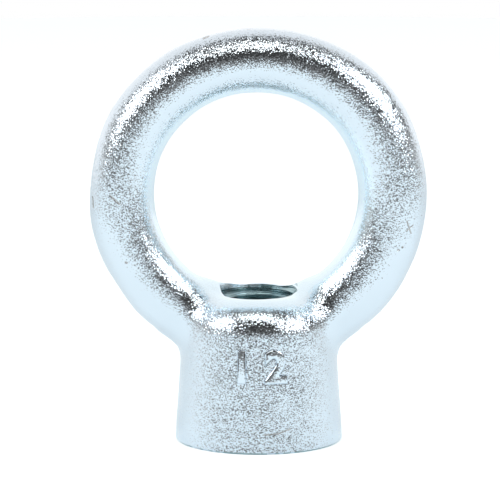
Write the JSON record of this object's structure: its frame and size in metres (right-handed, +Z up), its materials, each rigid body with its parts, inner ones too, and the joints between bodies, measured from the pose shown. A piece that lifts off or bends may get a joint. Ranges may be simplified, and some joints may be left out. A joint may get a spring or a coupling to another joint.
{
  "type": "lifting eye nut",
  "caption": "Forged lifting eye nut: a round-bar ring on a short tapered boss, threaded right through for a stud, with a flat seat.",
  "frame": {"origin": "centre of the flat seat at the foot of the boss, on the thread's axis", "axes": "+Z up the thread's axis through the centre of the eye, X across the eye in the plane of the ring, Y through the eye"},
  "size_m": [0.05, 0.0248, 0.062],
  "materials": {
    "zinc_plated_steel": "bright zinc plate with a pale blue passivation over shot-blasted forged steel"
  },
  "bodies": {
    "root": {"eye_nut": "zinc_plated_steel"}
  },
  "joints": []
}
